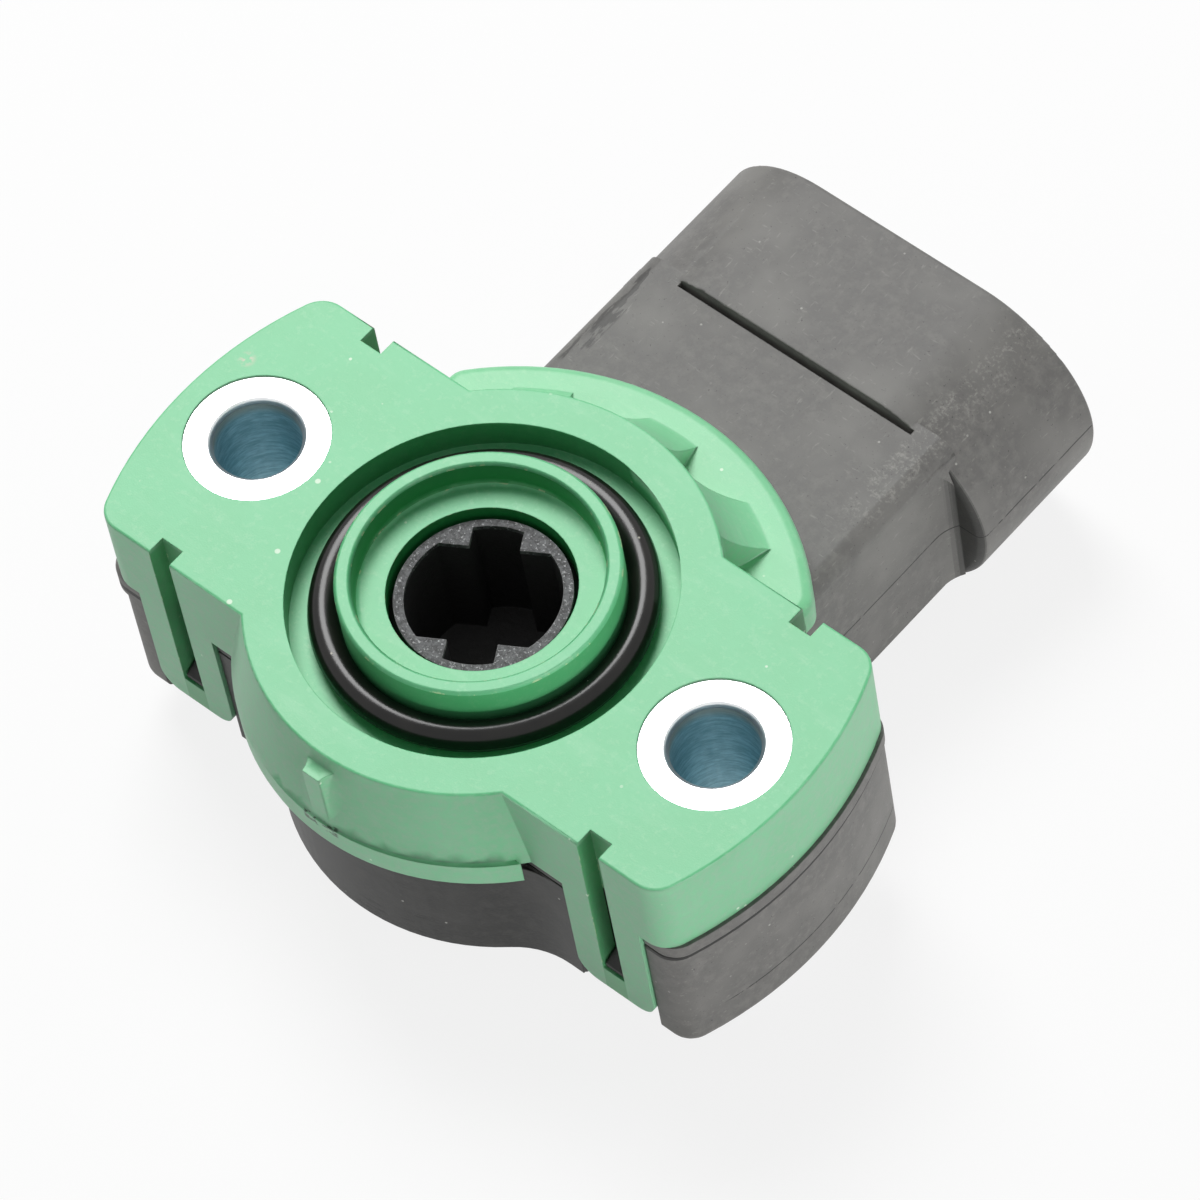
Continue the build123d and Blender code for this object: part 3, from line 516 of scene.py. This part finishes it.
def zinc_steel(axis_x):
    recipe = Recipe("zinc_steel", roughness=0.3, metallic=1.0)
    radius = recipe.radius(axis_x)
    rings = (radius * RINGS_PER_MM).sine()
    patches = recipe.noise(0.6, detail=4.0)
    tone = recipe.mix(recipe.step(patches, 0.4, 0.7), *FACE_ZINC)
    bore = recipe.step(radius, *INSIDE_TUBE_R)
    bore = bore * recipe.step(abs(recipe.facing("Z")), 0.6, 0.3)
    marks = recipe.noise(0.8, detail=6.0, roughness=0.7, stretch=(1.0, 1.0, 5.0), seed=3.0)
    # The bore's darker blue tone is a painted reflection.
    bore_reflection_tone = recipe.mix(recipe.step(marks, 0.35, 0.7), *BORE_BLUE_REFLECTION)
    bore_reflection_tone = recipe.mix(recipe.step(marks, 0.66, 0.72) * 0.6, bore_reflection_tone, TOOL_MARK)
    lip = bore * recipe.step(recipe.z, -1.5, -0.5)
    tone = recipe.mix(bore, tone, recipe.mix(lip * 0.7, bore_reflection_tone, BROWN_LIP))
    normal, edges = recipe.soft_edges(0.08)
    tone = recipe.mix(recipe.step(edges, 0.05, 0.3) * 0.3, tone, ZINC_EDGE)
    rough = 0.3 + patches * 0.12 + bore * 0.12
    height = rings * 0.5 + marks * 0.5
    return recipe.finish(tone, rough, recipe.bump(height, 0.004, normal))


# %% [markdown]
# The pieces inside show only when the sensor is opened, but each still gets
# the finish of the real one: tin over brass on the blades, spring bronze on
# the contacts, a fired white board with a carbon and a silver print, hardened
# strip, and a pale low-friction plastic. They differ in tone, sheen and grain,
# so one function takes those and makes them all.

# %% Inner finishes
EVEN = (1.0, 1.0, 1.0)
ALONG_BLADE = (1.0, 0.15, 1.0)


def plain_finish(name, tones, scale, roughness, metallic=0.0, stretch=EVEN, depth=0.004):
    recipe = Recipe(name, roughness=roughness, metallic=metallic)
    dark, pale = tones
    patches = recipe.noise(scale, detail=4.0, stretch=stretch)
    grain = recipe.noise(scale * 8, detail=2.0, stretch=stretch, seed=5.0)
    tone = recipe.mix(recipe.step(patches, 0.35, 0.68), dark, pale)
    normal, edges = recipe.soft_edges(0.08)
    tone = recipe.mix(recipe.step(edges, 0.05, 0.35) * 0.3, tone, pale)
    rough = roughness - 0.06 + patches * 0.12
    return recipe.finish(tone, rough, recipe.bump(grain, depth, normal))


TIN = (linear(176, 176, 172), linear(206, 206, 200))
BRONZE = (linear(196, 146, 84), linear(222, 178, 112))
CERAMIC = (linear(226, 222, 210), linear(240, 237, 228))
CARBON = (linear(36, 36, 38), linear(58, 58, 60))
SILVER = (linear(190, 190, 184), linear(220, 220, 214))
STRIP = (linear(140, 142, 146), linear(176, 178, 182))
WHITE = (linear(214, 211, 200), linear(232, 230, 221))
finishes = {
    "green_plastic": green_plastic(),
    "black_plastic": black_plastic(),
    "rotor_plastic": rotor_plastic(),
    "seal_rubber": seal_rubber(),
    "tinned_brass": plain_finish("tinned_brass", TIN, 1.2, 0.3, 1.0, stretch=ALONG_BLADE),
    "contact_bronze": plain_finish("contact_bronze", BRONZE, 1.5, 0.28, 1.0),
    "board_ceramic": plain_finish("board_ceramic", CERAMIC, 0.8, 0.6, depth=0.01),
    "carbon_ink": plain_finish("carbon_ink", CARBON, 2.0, 0.5, depth=0.008),
    "silver_ink": plain_finish("silver_ink", SILVER, 2.0, 0.4, 0.9, depth=0.008),
    "spring_steel": plain_finish("spring_steel", STRIP, 0.9, 0.3, 1.0),
    "white_plastic": plain_finish("white_plastic", WHITE, 0.7, 0.45, depth=0.01),
}
slots = {row["node"]: row["material_slot"] for row in frame["record"]["subparts"]}


def dress(piece, material):
    """Gives a piece one finish, in place of what it came with."""
    piece.data.materials.clear()
    piece.data.materials.append(material)


for name, piece in frame["nodes"].items():
    slot = slots[name]
    if slot == "zinc_steel":
        low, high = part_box(name)
        dress(piece, zinc_steel((low.x + high.x) / 2 / MM))
    else:
        dress(piece, finishes[slot])
print("Dressed", len(frame["nodes"]), "pieces")

# %% [markdown]
# The solids are made of flat triangles, and their round walls should look
# round. A solid isn't changed here, so each visible one lends a copy of its
# mesh to a new skin. Its loose triangles are merged first, and on the
# mouldings the triangles of one flat become one large face. Then faces that
# meet gently share a normal, real edges stay crisp, and large flat faces keep
# their own normal, because the weighting counts area. The tubes skip the
# joining of flats, because it leaves their bores jagged.

# %% Smooth skins for the visible solids
SMOOTH_ANGLE = math.radians(28)
FLAT_ANGLE = math.radians(0.1)
MERGE_DISTANCE = 0.002 * MM
MOULDINGS = ("cover", "housing", "rotor")
TUBES = ("bushing_left", "bushing_right")


def select_only(piece):
    bpy.ops.object.select_all(action="DESELECT")
    piece.select_set(True)
    bpy.context.view_layer.objects.active = piece


def smooth(piece):
    """Rounds the shading of a piece, and applies the modifier that keeps its flats flat."""
    select_only(piece)
    bpy.ops.object.shade_smooth_by_angle(angle=SMOOTH_ANGLE)
    weighting = piece.modifiers.new("flat_faces_stay_flat", "WEIGHTED_NORMAL")
    weighting.keep_sharp = True
    bpy.ops.object.modifier_apply(modifier=weighting.name)


def make_skin(name, join_flats):
    """A merged, smooth copy of one solid, which then stands for it."""
    solid = frame["nodes"][name]
    skin = bpy.data.objects.new(name + "_skin", solid.data.copy())
    bpy.context.scene.collection.objects.link(skin)
    select_only(skin)
    bpy.ops.object.mode_set(mode="EDIT")
    bpy.ops.mesh.select_all(action="SELECT")
    bpy.ops.mesh.remove_doubles(threshold=MERGE_DISTANCE)
    if join_flats:
        bpy.ops.mesh.dissolve_limited(angle_limit=FLAT_ANGLE)
    bpy.ops.object.mode_set(mode="OBJECT")
    smooth(skin)
    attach(skin, solid["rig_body"])
    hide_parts(name)
    return skin


for name in MOULDINGS + TUBES:
    skin = make_skin(name, join_flats=name in MOULDINGS)
    print(skin.name, len(skin.data.polygons), "faces")

# %% [markdown]
# The face seal is a moulded rubber ring. A mould leaves a fine flash line
# round the ring's widest and narrowest circles. The ring starts as a torus of
# the real size; the circles at mid height are then selected by their place
# and scaled a little, outwards on the outside and inwards on the inside.

# %% Face seal ring
FLASH_PROUD = 0.035 * MM
NEAR = 0.01 * MM
RING_STEPS = 256
SECTION_STEPS = 40

low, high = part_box("face_seal_ring")
section_r = (high.z - low.z) / 2
ring_r = high.x - section_r
middle_z = (high.z + low.z) / 2
bpy.ops.object.select_all(action="DESELECT")
bpy.ops.mesh.primitive_torus_add(
    major_segments=RING_STEPS,
    minor_segments=SECTION_STEPS,
    major_radius=ring_r,
    minor_radius=section_r,
    location=(0, 0, middle_z),
)
ring = bpy.context.object
ring.name = "face_seal"
bpy.ops.object.transform_apply(location=True, rotation=True, scale=True)


def scale_circle(piece, radius, factor):
    """Selects the points at mid height and one radius, and scales them about the axis."""
    bpy.ops.object.mode_set(mode="EDIT")
    bpy.ops.mesh.select_mode(type="VERT")
    bpy.ops.mesh.select_all(action="DESELECT")
    bpy.ops.object.mode_set(mode="OBJECT")
    for vertex in piece.data.vertices:
        level = abs(vertex.co.z - middle_z) < NEAR
        vertex.select = level and abs(vertex.co.xy.length - radius) < NEAR
    bpy.ops.object.mode_set(mode="EDIT")
    bpy.ops.transform.resize(value=(factor, factor, 1), center_override=(0, 0, middle_z))
    bpy.ops.object.mode_set(mode="OBJECT")


outer_r = ring_r + section_r
inner_r = ring_r - section_r
scale_circle(ring, outer_r, 1 + FLASH_PROUD / outer_r)
scale_circle(ring, inner_r, 1 - FLASH_PROUD / inner_r)
select_only(ring)
bpy.ops.object.shade_smooth_by_angle(angle=SMOOTH_ANGLE)
dress(ring, finishes["seal_rubber"])
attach(ring, frame["nodes"]["face_seal_ring"]["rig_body"])
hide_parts("face_seal_ring")
print("Seal ring", len(ring.data.polygons), "faces")

# %% [markdown]
# The stage is a pale floor that meets the sensor where it really rests. The
# sensor lies on its back: the front edge of its round back boss and the latch
# ramp under the shroud touch the bench, so the bench is drawn through those
# two lines instead of through the lowest point alone.

# %% Floor
BOSS_FRONT = (-11.0, -21.2)
RAMP_FOOT = (33.1, -25.04)
FLOOR_HALF = 3.0
FLOOR_DROP = 0.02

slope = (RAMP_FOOT[1] - BOSS_FRONT[1]) / (RAMP_FOOT[0] - BOSS_FRONT[0])
base = (BOSS_FRONT[1] - slope * BOSS_FRONT[0] - FLOOR_DROP) * MM
bpy.ops.mesh.primitive_plane_add(size=2 * FLOOR_HALF)
floor = bpy.context.object
floor.name = "studio_floor"
for vertex in floor.data.vertices:
    vertex.co.z = base + slope * vertex.co.y

# %% [markdown]
# The photograph's background is white. The camera, and every reflection, sees
# a floor that is nearly white by itself and still takes the sensor's shadow,
# and a white sky. For all other light the floor is plain paper and the sky is
# weak, so the white background puts no extra light on the sensor.

# %% Floor finish and sky
FLOOR_TONE = (0.9, 0.9, 0.9)
BOUNCE_TONE = (0.85, 0.85, 0.85)
SEEN_WHITE = 0.85
PURE_WHITE = (1.0, 1.0, 1.0)
SKY = 0.2
SKY_SEEN = 1.0
SEEN_RAYS = ("Is Camera Ray", "Is Glossy Ray", "Is Transmission Ray")


def floor_finish():
    recipe = Recipe("studio_floor", roughness=0.9, specular=0.0)
    first, *others = [recipe.node("ShaderNodeLightPath", output=ray) for ray in SEEN_RAYS]
    for other in others:
        first = first.most(other)
    paper = recipe.node("ShaderNodeBsdfDiffuse", {"Color": FLOOR_TONE})
    white = recipe.node("ShaderNodeEmission", {"Color": PURE_WHITE, "Strength": 1.0})
    shown = recipe.node("ShaderNodeMixShader", {0: SEEN_WHITE, 1: paper, 2: white})
    bounce = recipe.node("ShaderNodeBsdfDiffuse", {"Color": BOUNCE_TONE})
    blend = recipe.node("ShaderNodeMixShader", {0: first, 1: bounce, 2: shown})
    recipe.feed(recipe.tree.nodes["Material Output"].inputs["Surface"], blend)
    return recipe.material


dress(floor, floor_finish())

world = bpy.data.worlds.new("studio_world")
world.use_nodes = True
bpy.context.scene.world = world
nodes = world.node_tree.nodes
links = world.node_tree.links
path = nodes.new("ShaderNodeLightPath")
seen = path.outputs[SEEN_RAYS[0]]
for ray in SEEN_RAYS[1:]:
    either = nodes.new("ShaderNodeMath")
    either.operation = "MAXIMUM"
    links.new(seen, either.inputs[0])
    links.new(path.outputs[ray], either.inputs[1])
    seen = either.outputs[0]
strength = nodes.new("ShaderNodeMapRange")
strength.inputs["To Min"].default_value = SKY
strength.inputs["To Max"].default_value = SKY_SEEN
links.new(seen, strength.inputs["Value"])
links.new(strength.outputs[0], nodes["Background"].inputs["Strength"])
nodes["Background"].inputs["Color"].default_value = (*PURE_WHITE, 1.0)

# %% [markdown]
# One soft lamp hangs where the flat tops mirror it to the camera: it whitens
# the bushings and lays a haze over the plastic. Two low strips light the side
# walls and leave the walls of the groove and of the socket dark, because
# their light can't climb over the rims.

# %% Studio lamps
LAMP_AIM = Vector((0.0, 0.01, -0.01))
STRIP_HEIGHT = 0.03


def lamp(name, place, width, height, watts):
    data = bpy.data.lights.new(name, "AREA")
    data.shape = "RECTANGLE"
    data.size = width
    data.size_y = height
    data.energy = watts
    made = bpy.data.objects.new(name, data)
    bpy.context.scene.collection.objects.link(made)
    made.location = Vector(place)
    aim = LAMP_AIM - made.location
    made.rotation_euler = aim.to_track_quat("-Z", "Y").to_euler()


lamp("overhead_lamp", (-0.33, 0.26, 0.60), 0.38, 0.38, 5.0)
lamp("left_strip", (-0.38, -0.60, 0.0), 0.60, STRIP_HEIGHT, 2.5)
lamp("right_strip", (0.66, -0.14, 0.0), 0.50, STRIP_HEIGHT, 3.5)

# %% Screen settings and the end
bpy.context.scene.view_settings.view_transform = "Standard"
